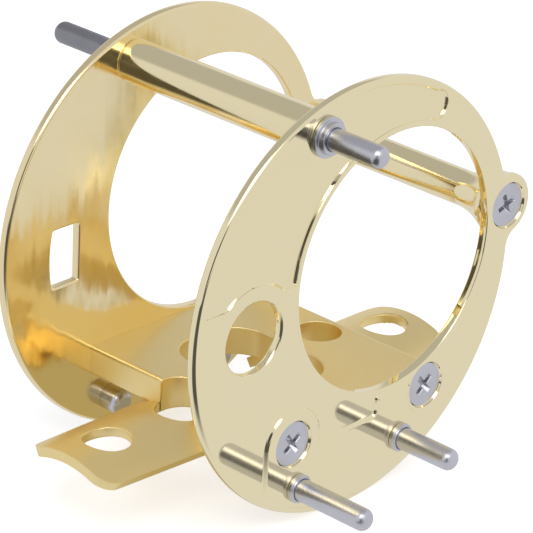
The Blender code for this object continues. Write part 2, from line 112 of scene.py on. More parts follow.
class ScrewPlace(Enum):
    """Where a plate has screws; the value is the turn of the screw's cross."""

    LUG = 20.0
    FRONT = 35.0
    REAR = 40.0

    def node(self, side: Side) -> str:
        """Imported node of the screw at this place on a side."""
        return f"{side.word}_{self.name.lower()}_screw"


def linear(hex_colour: str) -> Colour:
    """Turns an sRGB hex colour into linear light.

    Args:
        hex_colour: Six hex digits after a hash sign.

    Returns:
        Red, green, blue and a full alpha.
    """
    parts = [int(hex_colour[i : i + 2], 16) / 255 for i in (1, 3, 5)]
    red, green, blue = (p / 12.92 if p <= 0.04045 else ((p + 0.055) / 1.055) ** 2.4 for p in parts)
    return red, green, blue, 1.0


def grey(light: float) -> Colour:
    """A neutral colour of this linear level."""
    return light, light, light, 1.0


def cool(light: float) -> Colour:
    """A cool neutral colour of about this linear level, as daylight leaves on white paper."""
    red, green, blue = (share * light for share in DAYLIGHT)
    return red, green, blue, 1.0


def add_node(
    tree: Tree,
    kind: str,
    settings: dict[str, Any] | None = None,
    inputs: dict[Any, Any] | None = None,
) -> bpy.types.Node:
    """Adds a node, sets it and links it.

    Args:
        tree: The tree that takes the node.
        kind: Blender's type name of the node, less its leading ShaderNode.
        settings: Values of the node's own properties.
        inputs: For each input, by name or number, a value or the output socket that feeds it.

    Returns:
        The new node.
    """
    node = tree.nodes.new("ShaderNode" + kind)
    for key, value in (settings or {}).items():
        setattr(node, key, value)
    for key, value in (inputs or {}).items():
        if isinstance(value, Socket):
            tree.links.new(value, node.inputs[key])
        else:
            node.inputs[key].default_value = value
    return node


@dataclass(frozen=True)
class Streaks:
    """Upright polishing marks: narrow streaks, each of which tips the surface a little up or down."""

    width: float
    length: float
    tip: float


@dataclass(frozen=True)
class MetalFinish:
    """A bare or plated metal, with a slow drift of its tone and a fine grain in its surface."""

    name: str
    pale: str
    deep: str
    roughness: Pair
    drift: float = 9.0
    grain: float = 1.6
    grain_height: float = 0.0002
    grain_stretch: Place = (1.0, 1.0, 1.0)
    streaks: Streaks | None = None

    def material(self) -> bpy.types.Material:
        """Makes the material, or finds it where it was made before.

        Returns:
            The material.
        """
        if self.name in bpy.data.materials:
            return bpy.data.materials[self.name]
        made = bpy.data.materials.new(self.name)
        made.use_nodes = True
        tree = made.node_tree
        tree.nodes.clear()
        add = partial(add_node, tree)
        place = add("TexCoord").outputs["Object"]
        patches = {"Vector": place, "Scale": 1 / (self.drift * MM), "Detail": 3.0, "Roughness": 0.55}
        cloud = add("TexNoise", inputs=patches).outputs["Fac"]
        tones = {"Factor": cloud, "A": linear(self.deep), "B": linear(self.pale)}
        tone = add("Mix", {"data_type": "RGBA"}, tones)
        scale = tuple(stretch / (self.grain * MM) for stretch in self.grain_stretch)
        stretched = add("Mapping", inputs={"Vector": place, "Scale": scale}).outputs["Vector"]
        grain = add("TexNoise", inputs={"Vector": stretched, "Scale": 1.0, "Detail": 2.0}).outputs["Fac"]
        span = {FROM_LOW: 0.3, FROM_HIGH: 0.7, TO_LOW: self.roughness[0], TO_HIGH: self.roughness[1]}
        rough = add("MapRange", inputs={"Value": grain, **span})
        relief = {"Strength": 1.0, "Distance": self.grain_height * MM, "Height": grain}
        if self.streaks:
            relief["Normal"] = self.tipped(tree, place, self.streaks)
        bump = add("Bump", inputs=relief)
        shader = add(
            "BsdfPrincipled",
            inputs={
                "Base Color": tone.outputs["Result"],
                "Metallic": 1.0,
                "Roughness": rough.outputs["Result"],
                "Normal": bump.outputs["Normal"],
            },
        )
        add("OutputMaterial", inputs={"Surface": shader.outputs["BSDF"]})
        return made

    @staticmethod
    def tipped(tree: Tree, place: Socket, streaks: Streaks) -> Socket:
        """The surface's normal, tipped up or down by upright streaks.

        Args:
            tree: Node tree of the material.
            place: Socket with the place on the piece.
            streaks: Size and tip of the streaks.

        Returns:
            Socket with the new normal.
        """
        add = partial(add_node, tree)
        scale = tuple(1 / (size * MM) for size in (streaks.width, streaks.width, streaks.length))
        upright = add("Mapping", inputs={"Vector": place, "Scale": scale}).outputs["Vector"]
        noise = add("TexNoise", inputs={"Vector": upright, "Scale": 1.0, "Detail": 1.0}).outputs["Fac"]
        span = {FROM_LOW: 0.25, FROM_HIGH: 0.75, TO_LOW: -streaks.tip, TO_HIGH: streaks.tip}
        tip = add("MapRange", inputs={"Value": noise, **span})
        lean = add("CombineXYZ", inputs={"Z": tip.outputs["Result"]}).outputs["Vector"]
        normal = add("NewGeometry").outputs["Normal"]
        summed = add("VectorMath", {"operation": "ADD"}, {0: normal, 1: lean}).outputs["Vector"]
        return add("VectorMath", {"operation": "NORMALIZE"}, {0: summed}).outputs["Vector"]


class Metal(Enum):
    """The finishes of the frame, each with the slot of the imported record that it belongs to."""

    # Brass, polished to a mirror and flashed with pale gold: clear reflections, warmer where they double up
    MIRROR_GOLD = MetalFinish("mirror_gold_on_brass", "#FCF0C7", "#FCEDBF", (0.02, 0.05))
    # The same gold over upright polishing marks, which pull reflections into streaks; drawn coarse to show
    STREAKED_GOLD = MetalFinish(
        "streaked_gold_on_brass",
        "#FCECBF",
        "#FCE8B4",
        (0.11, 0.17),
        streaks=Streaks(width=0.9, length=16.0, tip=0.022),
    )
    # The same gold on pillars that were turned and then buffed: reflections with soft borders
    BUFFED_GOLD = MetalFinish("buffed_gold_on_brass", "#FCEFC5", "#FCEBBB", (0.10, 0.16))
    # The same gold on milled brass: soft sheen with a fine blasted grain, drawn coarse so that it shows
    SATIN_GOLD = MetalFinish(
        "satin_gold_on_brass",
        "#FFEBB0",
        "#FFE49C",
        (0.36, 0.44),
        drift=7.0,
        grain=0.28,
        grain_height=0.0004,
    )
    # Turned stainless steel: cool grey with faint lathe rings round the axis, drawn coarse so that they show
    TURNED_STEEL = MetalFinish(
        "turned_stainless_steel",
        "#DCDBE0",
        "#CAC9CE",
        (0.27, 0.35),
        drift=3.0,
        grain=0.9,
        grain_height=0.00012,
        grain_stretch=LATHE_RINGS,
    )
    # Fine threads: the same steel, with painted shade for the flanks that are too close to tell apart
    THREADED_STEEL = MetalFinish(
        "stainless_thread_painted_shade",
        "#A3A2A6",
        "#88878C",
        (0.24, 0.34),
        drift=3.0,
        grain=0.9,
        grain_stretch=LATHE_RINGS,
    )

    @property
    def slot(self) -> str:
        """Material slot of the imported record."""
        slots = {"SATIN_GOLD": "gold_satin", "TURNED_STEEL": "steel", "THREADED_STEEL": "steel"}
        return slots.get(self.name, "gold_mirror")


def box_mm(node: str) -> tuple[Vector, Vector]:
    """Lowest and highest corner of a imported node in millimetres."""
    low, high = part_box(node)
    return low / MM, high / MM


def radius_of(node: str) -> float:
    """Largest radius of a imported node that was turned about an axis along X."""
    low, high = box_mm(node)
    return (high.z - low.z) / 2


def arc(centre: Spot, radius: float, start: float, end: float, steps: int) -> Loop:
    """Points on a circle.

    Args:
        centre: Middle of the circle.
        radius: Its radius.
        start: First angle, in radians.
        end: Angle that the arc runs up to, and leaves out, in radians.
        steps: How many points.

    Returns:
        The points in order.
    """
    angles = [start + (end - start) * i / steps for i in range(steps)]
    return [(centre[0] + radius * math.cos(a), centre[1] + radius * math.sin(a)) for a in angles]


def circle(centre: Spot, radius: float, steps: int = ROUND_STEPS) -> Loop:
    """A whole circle, anticlockwise."""
    return arc(centre, radius, 0, math.tau, steps)


def softened(points: Loop, radius: float, closed: bool, steps: int = EDGE_STEPS) -> Loop:
    """Rounds the corners of a line.

    Args:
        points: Corners in order.
        radius: How far from a corner its rounding starts, at most CORNER_SHARE of each side.
        closed: Whether the last corner joins the first.
        steps: Points on each rounding, less one.

    Returns:
        The line with a short curve in place of each corner that turns.
    """
    count = len(points)
    line: Loop = []
    for i, corner in enumerate(points):
        if not closed and i in (0, count - 1):
            line.append(corner)
            continue
        here = Vector(corner)
        before = Vector(points[i - 1]) - here
        after = Vector(points[(i + 1) % count]) - here
        if before.length == 0 or after.length == 0 or before.angle(after) > STRAIGHT_ANGLE:
            line.append(corner)
            continue
        start = here + before.normalized() * min(radius, CORNER_SHARE * before.length)
        end = here + after.normalized() * min(radius, CORNER_SHARE * after.length)
        for k in range(steps + 1):
            t = k / steps
            point = start * (1 - t) ** 2 + here * (2 * t * (1 - t)) + end * t**2
            line.append((point.x, point.y))
    return line


def grown(loop: Loop, distance: float) -> Loop:
    """Moves the points of an anticlockwise loop square to it.

    Args:
        loop: The points.
        distance: How far outwards, or inwards where it is negative.

    Returns:
        The moved points.
    """
    moved: Loop = []
    for i, point in enumerate(loop):
        here = Vector(point)
        back = (here - Vector(loop[i - 1])).normalized()
        ahead = (Vector(loop[(i + 1) % len(loop)]) - here).normalized()
        along = (back + ahead).normalized()
        out = Vector((along.y, -along.x))
        reach = distance / max(MITRE_COSINE, out.dot(Vector((ahead.y, -ahead.x))))
        moved.append((here.x + out.x * reach, here.y + out.y * reach))
    return moved


def band(shape: Shape, rings: list[Ring]) -> list[Verts]:
    """Joins closed rings of points, each to the next, by a band of quads.

    Args:
        shape: The mesh that takes the band.
        rings: Rings of equal length, in millimetres; a ring of one point closes the band to a tip.

    Returns:
        The vertices of each ring.
    """
    made = [[shape.verts.new(point * MM) for point in ring] for ring in rings]
    for first, second in zip(made, made[1:]):
        count = max(len(first), len(second))
        for i in range(count):
            k = (i + 1) % count
            if len(first) == 1:
                corners = (first[0], second[i], second[k])
            elif len(second) == 1:
                corners = (first[i], second[0], first[k])
            else:
                corners = (first[i], second[i], second[k], first[k])
            shape.faces.new(corners)
    return made


def fill(shape: Shape, loops: Iterable[Verts]) -> None:
    """Closes the flat field between an outer loop of vertices and the loops of its holes, and marks it.

    Args:
        shape: The mesh that takes the field.
        loops: The vertices of each loop in order.
    """
    edges = []
    for loop in loops:
        for i, vertex in enumerate(loop):
            edge = shape.edges.get((vertex, loop[i - 1]))
            edges.append(edge or shape.edges.new((vertex, loop[i - 1])))
    flat = shape.faces.layers.int.get(FLAT_LAYER) or shape.faces.layers.int.new(FLAT_LAYER)
    for made in bmesh.ops.triangle_fill(shape, edges=edges, use_beauty=True)["geom"]:
        if isinstance(made, bmesh.types.BMFace):
            made[flat] = 1


def piece_from(shape: Shape, name: str, closed: bool = True) -> Piece:
    """Turns a mesh in the making into a smooth piece with flat fields that stay flat.

    Args:
        shape: The mesh, which is freed.
        name: Name of the piece.
        closed: Whether it is closed, so that its faces can be turned outwards.

    Returns:
        The new object, linked to the scene.
    """
    if closed:
        bmesh.ops.recalc_face_normals(shape, faces=shape.faces)
    mesh = bpy.data.meshes.new(name)
    shape.to_mesh(mesh)
    shape.free()
    mesh.shade_smooth()
    mesh.set_sharp_from_angle(angle=SHARP_ANGLE)
    piece = bpy.data.objects.new(name, mesh)
    bpy.context.scene.collection.objects.link(piece)
    even = piece.modifiers.new("Flat fields", "WEIGHTED_NORMAL")
    even.keep_sharp = True
    return piece


def level(mesh: bpy.types.Mesh) -> None:
    """Turns the shading at the border of each flat field square to it, so that it mirrors without a bend.

    Args:
        mesh: Mesh whose marked fields face along X.
    """
    square: dict[int, Vector] = {}
    for face, flat in zip(mesh.polygons, mesh.attributes[FLAT_LAYER].data):
        if flat.value:
            way = Vector((math.copysign(1.0, face.normal.x), 0.0, 0.0))
            square.update(dict.fromkeys(face.vertices, way))
    normals = [corner.vector.copy() for corner in mesh.corner_normals]
    for i, loop in enumerate(mesh.loops):
        way = square.get(loop.vertex_index)
        if way and normals[i].angle(way) < SHARP_ANGLE:
            normals[i] = way
    mesh.normals_split_custom_set(normals)


@dataclass(frozen=True)
class Thread:
    """A screw thread cut into a turned piece between two heights."""

    pitch: float
    depth: float
    start: float
    end: float
    rings_a_turn: int = 8
    flank_gain: float = 1.25
    flank_start: float = 0.1

    def heights(self) -> list[float]:
        """Heights of the rings that carry the thread, from its end down to its start."""
        count = round((self.end - self.start) / self.pitch * self.rings_a_turn)
        return [self.end - (self.end - self.start) * i / count for i in range(count + 1)]

    def groove(self, height: float, turn: float) -> float:
        """Depth of the thread, which fades out at both ends.

        Args:
            height: Height on the turned piece.
            turn: Share of one turn round it.

        Returns:
            Depth below the full radius.
        """
        inside = min(height - self.start, self.end - height) / self.pitch
        if inside <= 0:
            return 0.0
        phase = (height / self.pitch - turn) % 1.0
        flank = 1 - abs(2 * phase - 1)
        cut = min(1.0, max(0.0, self.flank_gain * flank - self.flank_start))
        return self.depth * min(1.0, inside) * cut


@dataclass(frozen=True)
class Lie:
    """Where a turned piece lies: its axis, where its zero height is across the frame, and its way."""

    y: float
    z: float
    x: float
    way: int

    @classmethod
    def on(cls, node: str, x: float, way: int) -> "Lie":
        """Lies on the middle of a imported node, from this place across the frame.

        Args:
            node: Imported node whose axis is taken.
            x: Where the piece's zero height is.
            way: 1 to point along +X, -1 to point along -X.

        Returns:
            The place of the piece.
        """
        low, high = box_mm(node)
        return cls((low.y + high.y) / 2, (low.z + high.z) / 2, x, way)

    def ring(self, radius: float, height: float, cut: Callable[[float, float], float] | None) -> Ring:
        """Points round the axis at one height.

        Args:
            radius: Its radius, or zero for the one point on the axis.
            height: Height along the axis.
            cut: Depth of a thread at a height and a share of one turn.

        Returns:
            The points in order.
        """
        if radius <= 0:
            return [Vector((self.x + self.way * height, self.y, self.z))]
        points = []
        for i in range(ROUND_STEPS):
            reach = radius - (cut(height, i / ROUND_STEPS) if cut else 0.0)
            angle = math.tau * i / ROUND_STEPS
            offset = Vector((self.way * height, reach * math.cos(angle), reach * math.sin(angle)))
            points.append(Vector((self.x, self.y, self.z)) + offset)
        return points


def turned(name: str, profile: Loop, lie: Lie, thread: Thread | None = None, closed: bool = False) -> Piece:
    """Turns a profile about its axis.

    Args:
        name: Name of the piece.
        profile: (radius, height) points; an open profile starts and ends on the axis.
        lie: Where the piece lies.
        thread: Thread cut into the rings whose height it covers.
        closed: Whether the profile goes round a bore and meets its own start.

    Returns:
        The new piece.
    """
    shape = bmesh.new()
    cut = thread.groove if thread else None
    rings = [lie.ring(radius, height, cut) for radius, height in profile]
    made = band(shape, rings + rings[:1] if closed else rings)
    if closed:
        bmesh.ops.remove_doubles(shape, verts=made[0] + made[-1], dist=WELD)
    return piece_from(shape, name)


def domed(radius: float, top: float, dome: float) -> Loop:
    """Profile of a rounded end.

    Args:
        radius: Full radius of the piece.
        top: Height of the end.
        dome: Radius of the rounding.

    Returns:
        (radius, height) points from the middle out.
    """
    steps = 3 * EDGE_STEPS
    tip: Loop = [(0.0, top)]
    for i in range(steps + 1):
        angle = math.pi / 2 * i / steps
        tip.append((radius - dome + dome * math.sin(angle), top - dome + dome * math.cos(angle)))
    return tip


def settle(piece: Piece, metal: Metal, *nodes: str) -> None:
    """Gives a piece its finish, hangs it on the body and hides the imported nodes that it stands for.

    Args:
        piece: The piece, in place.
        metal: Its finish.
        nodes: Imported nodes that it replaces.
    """
    piece.data.materials.clear()
    piece.data.materials.append(metal.value.material())
    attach(piece, BODY)
    for node in nodes:
        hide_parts(node)
    LOG.info("%s: %d faces, %s", piece.name, len(piece.data.polygons), metal.value.name)


@dataclass(frozen=True)
class Layout:
    """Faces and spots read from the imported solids."""

    plate_radius: float
    axis_height: float
    inner_face: float
    outer_face: float
    saddle_top: float

    @classmethod
    def read(cls) -> "Layout":
        """Reads the plates and the foot bridge.

        Returns:
            The faces and spots.
        """
        low, high = box_mm("right_side_plate")
        bridge = box_mm("foot_bridge")[1]
        radius = -low.y
        return cls(radius, low.z + radius, low.x, high.x, bridge.z)

    @property
    def thickness(self) -> float:
        """Thickness of a plate."""
        return self.outer_face - self.inner_face

    def spot(self, node: str) -> Spot:
        """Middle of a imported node, seen along X, from the plates' axis."""
        low, high = box_mm(node)
        return (low.y + high.y) / 2, (low.z + high.z) / 2 - self.axis_height


@dataclass
class SidePlate:
    """A round side plate with its openings, countersinks and stud holes."""

    layout: Layout
    side: Side
    edge_round: float = 0.45
    edge_steps: int = 8
    rim_steps: int = 320
    lug_angle: float = 9.2
    lug_radius: float = 3.7
    lug_fillet: float = 2.0
    opening_rim_wall: float = 3.25
    opening_saddle_wall: float = 0.2
    opening_angle: float = 24.2
    opening_round: float = 0.22
    guide_radius: float = 4.1
    guide_inset: float = 9.0
    guide_ring: float = 1.9
    recess_depth: float = 0.3
    recess_soft: float = 0.06
    recess_brow: Pair = (0.015, 0.07)
    recess_foot: float = 0.23
    recess_rim_lip: float = 0.9
    recess_opening_lip: float = 0.75
    recess_below_ring_top: float = 1.6
    recess_rear_reach: float = 5.2
    recess_corner: float = 0.7
    window_width: float = 3.85
    window_height: float = 6.9
    window_inset: float = 7.25
    window_drop: float = 0.45
    window_bulge: float = 0.35
    window_corner: float = 0.3
    pad_height: float = 0.35
    pad_radius: float = 4.0
    pad_web_drop: float = 1.15
    pad_rear_reach: float = 3.8
    pad_lip: float = 0.97
    pad_corner: float = 1.0
    pad_screw_gap: float = 0.8
    pad_screw_turns: Pair = (-110.0, -205.0)
    pad_foot: float = 0.3
    pad_soft: float = 0.18
    head_gap: float = 0.03
    screw_sink: float = 0.27
    seat_slope: float = 0.5
    lower_hole_radius: float = 1.0
    top_hole_radius: float = 1.5
    crisp: float = 0.07

    @property
    def pad(self) -> float:
        """Height of the pad under the lower fasteners, which only the right plate has."""
        return self.pad_height if self.side is Side.RIGHT else 0.0

    @property
    def guide(self) -> Spot:
        """Centre of the right plate's round hole for the line guide."""
        return -(self.layout.plate_radius - self.guide_inset), 0.0

    def outline(self) -> Loop:
        """Rim with the round rear lug and a fillet on each side of it.

        Returns:
            The outline, anticlockwise.
        """
        radius = self.layout.plate_radius
        turn = math.radians(self.lug_angle)
        lug = (radius * math.cos(turn), radius * math.sin(turn))
        reach = radius + self.lug_fillet
        side = self.lug_radius + self.lug_fillet
        spread = math.acos((reach**2 + radius**2 - side**2) / (2 * reach * radius))
        bend = math.acos((reach**2 + side**2 - radius**2) / (2 * reach * side))
        lower, upper = turn - spread, turn + spread
        below = (reach * math.cos(lower), reach * math.sin(lower))
        above = (reach * math.cos(upper), reach * math.sin(upper))
        swing = spread + bend
        fillet_steps = self.rim_steps // 12
        return (
            arc((0, 0), radius, upper, lower + math.tau, self.rim_steps)
            + arc(below, self.lug_fillet, lower + math.pi, lower + math.pi - bend, fillet_steps)
            + arc(lug, self.lug_radius, turn - swing, turn + swing, 2 * fillet_steps)
            + arc(above, self.lug_fillet, upper - math.pi + bend, upper - math.pi, fillet_steps)
        )

    def opening(self) -> tuple[Spot, float]:
        """Spool opening, set off towards the lug.

        Returns:
            Its centre and its radius.
        """
        lean = math.sin(math.radians(self.opening_angle))
        reach = self.layout.plate_radius - self.opening_rim_wall
        lowest = self.layout.saddle_top + self.opening_saddle_wall - self.layout.axis_height
        radius = (reach * lean - lowest) / (1 + lean)
        away = reach - radius
        turn = math.radians(self.opening_angle)
        return (away * math.cos(turn), away * math.sin(turn)), radius

    def window(self) -> Loop:
        """Upright window of the left plate, with small corners and a front side that bulges a little.

        Returns:
            Its outline, anticlockwise.
        """
        front = -(self.layout.plate_radius - self.window_inset)
        rear = front + self.window_width
        half = self.window_height / 2
        bow = (half**2 + self.window_bulge**2) / (2 * self.window_bulge)
        swing = math.asin(half / bow)
        centre = (front - self.window_bulge + bow, -self.window_drop)
        side = arc(centre, bow, math.pi - swing, math.pi + swing, 4 * EDGE_STEPS)
        low, high = -half - self.window_drop, half - self.window_drop
        return softened(side + [(front, low), (rear, low), (rear, high)], self.window_corner, True)

    def recess(self) -> Loop:
        """Upper front field of the right plate, which passes over the ring of the round hole.

        Returns:
            Its outline, anticlockwise.
        """
        centre, radius = self.opening()
        outer = self.layout.plate_radius - self.recess_rim_lip
        inner = radius + self.recess_opening_lip
        ring = self.guide_radius + self.guide_ring
        low = ring - self.recess_below_ring_top
        rear = centre[0] + self.recess_rear_reach
        ring_swing = math.asin(low / ring)
        inner_start = math.pi - math.asin((low - centre[1]) / inner)
        inner_end = math.acos(self.recess_rear_reach / inner)
        outer_end = math.pi - math.asin(low / outer)
        end_low = centre[1] + inner * math.sin(inner_end)
        end_high = outer * math.sin(math.acos(rear / outer))
        end_radius = (end_high - end_low) / 2
        end_centre = (rear, (end_low + end_high) / 2)
        steps = self.rim_steps // 4
        return softened(
            arc((0, 0), outer, math.acos(rear / outer), outer_end, steps)
            + [(outer * math.cos(outer_end), low)]
            + arc(self.guide, ring, math.pi - ring_swing, ring_swing, steps // 3)
            + [(self.guide[0] + ring * math.cos(ring_swing), low)]
            + arc(centre, inner, inner_start, inner_end, steps)
            + arc(end_centre, end_radius, -math.pi / 2, math.pi / 2, steps // 3),
            self.recess_corner,
            True,
            2 * EDGE_STEPS,
        )

    def pad_outline(self) -> Loop:
        """Pad of the right plate under the front screw and both studs, joined by a lower web.

        Returns:
            Its outline, anticlockwise.
        """
        centre, radius = self.opening()
        places = (ScrewPlace.FRONT, ScrewPlace.REAR)
        front, rear = (self.layout.spot(place.node(self.side)) for place in places)
        rim = self.layout.plate_radius - self.pad_lip
        mouth = radius + self.pad_lip
        low, high = box_mm(ScrewPlace.REAR.node(self.side))
        clear = (high.y - low.y) / 2 + self.pad_screw_gap
        start, end = (math.radians(turn) for turn in self.pad_screw_turns)
        beside = arc(rear, clear, start, end, self.rim_steps // 16)
        left, right = front[0] - self.pad_radius, front[0] + self.pad_radius
        step = self.layout.spot("right_rear_stud")[0] - self.pad_rear_reach
        web = front[1] - self.pad_web_drop
        mouth_end, mouth_start = (-math.acos((y - centre[0]) / mouth) for y in (beside[-1][0], step))
        rim_start, rim_end = (-math.acos(y / rim) for y in (left, beside[0][0]))
        steps = self.rim_steps // 8
        return softened(
            [(right, web)]
            + arc(front, self.pad_radius, 0.0, math.pi, steps)
            + arc((0, 0), rim, rim_start, rim_end, steps)
            + [(beside[0][0], rim * math.sin(rim_end))]
            + beside
            + arc(centre, mouth, mouth_end, mouth_start, steps)
            + [(step, centre[1] + mouth * math.sin(mouth_start)), (step, web)],
            self.pad_corner,
            True,
            2 * EDGE_STEPS,
        )

    def ring(self, loop: Loop, depth: float) -> Ring:
        """Points of a loop at a depth below the outer face."""
        x = self.side.value * (self.layout.outer_face - depth)
        return [Vector((x, y, z + self.layout.axis_height)) for y, z in loop]

    def step(self, loop: Loop, section: Loop) -> list[Ring]:
        """Rings of a step along a loop, from the (offset, depth) points of its section."""
        return [self.ring(grown(loop, offset), depth) for offset, depth in section]

    def rounded_wall(self, loop: Loop, sign: int, top: float = 0.0, edge: float | None = None) -> list[Ring]:
        """Rings of a wall through the plate whose two edges are rounded.

        Args:
            loop: Outline at the middle of the wall.
            sign: 1 for a hole, whose mouths are wider, or -1 for the rim.
            top: Depth of the face that the wall starts from.
            edge: Radius of the rounding.

        Returns:
            Rings from the outer to the inner face.
        """
        edge = self.edge_round if edge is None else edge
        turns = [math.pi / 2 * i / self.edge_steps for i in range(self.edge_steps + 1)]
        upper = [(edge * (1 - math.sin(t)), top + edge * (1 - math.cos(t))) for t in turns]
        thick = self.layout.thickness
        lower = [(offset, thick - (depth - top)) for offset, depth in reversed(upper)]
        return self.step(loop, [(sign * offset, depth) for offset, depth in upper + lower])

    def screw_face(self, place: ScrewPlace) -> float:
        """Depth of the face that a screw is sunk in, which is the pad's for the front one."""
        return -self.pad if place is ScrewPlace.FRONT else 0.0

    def screw_seat(self, place: ScrewPlace) -> list[Ring]:
        """Countersink for a screw.

        Args:
            place: Which screw it takes.

        Returns:
            Rings from its mouth to the screw's hole in the inner face.
        """
        node = place.node(self.side)
        low, high = box_mm(node)
        thick = self.layout.thickness
        top = self.screw_face(place)
        shank = (high.y - low.y) / 4
        head = (high.y - low.y) / 2 + self.head_gap
        mouth = head + self.seat_slope * self.screw_sink
        line = [(mouth + self.crisp, top), (mouth, top), (head, top + self.screw_sink)]
        line += [(shank, thick - 2 * self.crisp), (shank, thick), (shank + 2 * self.crisp, thick)]
        spot = self.layout.spot(node)
        return [self.ring(circle(spot, radius), depth) for radius, depth in softened(line, self.crisp, False)]

    def build(self) -> Piece:
        """Models the plate as flat fields joined by rounded walls.

        Returns:
            The plate.
        """
        shape = bmesh.new()
        word = self.side.word
        centre, radius = self.opening()
        walls = [
            self.rounded_wall(self.outline(), -1),
            self.rounded_wall(circle(centre, radius, self.rim_steps), 1, 0.0, self.opening_round),
            self.screw_seat(ScrewPlace.LUG),
            self.screw_seat(ScrewPlace.REAR),
        ]
        if self.side is Side.RIGHT:
            walls.append(self.rounded_wall(circle(self.guide, self.guide_radius), 1))
        else:
            walls.append(self.rounded_wall(self.window(), 1, 0.0, self.window_corner))
        lower = [self.screw_seat(ScrewPlace.FRONT)]
        for place in ("front", "rear"):
            hole = circle(self.layout.spot(f"{word}_{place}_stud"), self.lower_hole_radius)
            lower.append(self.rounded_wall(hole, 1, -self.pad, self.crisp))
        stud = circle(self.layout.spot(f"{word}_top_stud"), self.top_hole_radius)
        made, seats = ([band(shape, wall) for wall in group] for group in (walls, lower))
        outer = [rings[0] for rings in made]
        inner = [rings[-1] for rings in made + seats]
        if self.side is Side.RIGHT:
            edge = band(shape, self.step(self.recess(), self.slope()))
            well = band(shape, self.rounded_wall(stud, 1, self.recess_depth, self.crisp))
            fill(shape, [edge[-1], well[0]])
            rise = band(shape, self.step(self.pad_outline(), self.bank()))
            fill(shape, [rise[-1]] + [rings[0] for rings in seats])
            outer += [edge[0], rise[0]]
        else:
            well = band(shape, self.rounded_wall(stud, 1, 0.0, self.crisp))
            outer += [well[0]] + [rings[0] for rings in seats]
        inner.append(well[-1])
        fill(shape, outer)
        fill(shape, inner)
        plate = piece_from(shape, f"{word}_plate")
        plate.modifiers.clear()
        level(plate.data)
        return plate

    def bank(self) -> Loop:
        """Rise from the outer face to the pad.

        Returns:
            (offset, depth) points of its section.
        """
        soft, foot = self.pad_soft, self.pad_foot
        line = [(foot + soft, 0.0), (foot, 0.0), (0.0, -self.pad), (-soft, -self.pad)]
        return softened(line, soft, False, 2 * EDGE_STEPS)

    def slope(self) -> Loop:
        """Step down to the recess: a steep upper edge, then a slope down to the floor.

        Returns:
            (offset, depth) points of its section.
        """
        depth, soft = self.recess_depth, self.recess_soft
        brow, foot = self.recess_brow, self.recess_foot
        line = [(soft, 0.0), (0.0, 0.0), (-brow[0], brow[1]), (-foot, depth), (-foot - soft, depth)]
        return softened(line, soft, False, 2 * EDGE_STEPS)

    def dress(self) -> None:
        """Builds and finishes the plate."""
        metal = Metal.MIRROR_GOLD if self.side is Side.RIGHT else Metal.STREAKED_GOLD
        settle(self.build(), metal, f"{self.side.word}_side_plate")


def applied(piece: Piece) -> bpy.types.Mesh:
    """Applies the modifiers of a piece.

    Args:
        piece: The piece, which stays as it is.

    Returns:
        A new mesh.
    """
    bpy.context.view_layer.update()
    evaluated = piece.evaluated_get(bpy.context.evaluated_depsgraph_get())
    return bpy.data.meshes.new_from_object(evaluated)


def plain_mesh(piece: Piece, name: str) -> Piece:
    """Makes a piece anew with its modifiers applied.

    Args:
        piece: The piece, which is removed.
        name: Name of the new piece.

    Returns:
        A piece whose mesh is the applied one, welded, with flat fields that stay flat.
    """
    mesh = applied(piece)
    shape = bmesh.new()
    shape.from_mesh(mesh)
    bmesh.ops.remove_doubles(shape, verts=shape.verts, dist=WELD)
    bpy.data.meshes.remove(mesh)
    bpy.data.objects.remove(piece)
    return piece_from(shape, name)


def combine(piece: Piece, tool: Piece, operation: str = "DIFFERENCE") -> None:
    """Cuts a piece with a tool, or joins the two.

    Args:
        piece: The piece, whose mesh is replaced.
        tool: The other solid, which is removed.
        operation: Blender's word for what is done.
    """
    name = piece.name
    boolean = piece.modifiers.new(tool.name, "BOOLEAN")
    boolean.operation = operation
    boolean.solver = "EXACT"
    boolean.object = tool
    mesh = applied(piece)
    piece.modifiers.clear()
    old = piece.data
    piece.data = mesh
    piece.name = name
    bpy.data.meshes.remove(old)
    bpy.data.objects.remove(tool)


def prism(name: str, loops: list[tuple[Loop, float]], turn: Matrix) -> Piece:
    """A closed solid lofted between flat loops.

    Args:
        name: Name of the solid.
        loops: Each loop with its height.
        turn: Places the loops' own XY plane, in millimetres.

    Returns:
        The solid, to cut or to join with.
    """
    shape = bmesh.new()
    made = band(shape, [[turn @ Vector((x, y, height)) for x, y in loop] for loop, height in loops])
    fill(shape, [made[0]])
    fill(shape, [made[-1]])
    tool = piece_from(shape, name)
    tool.modifiers.clear()
    return tool


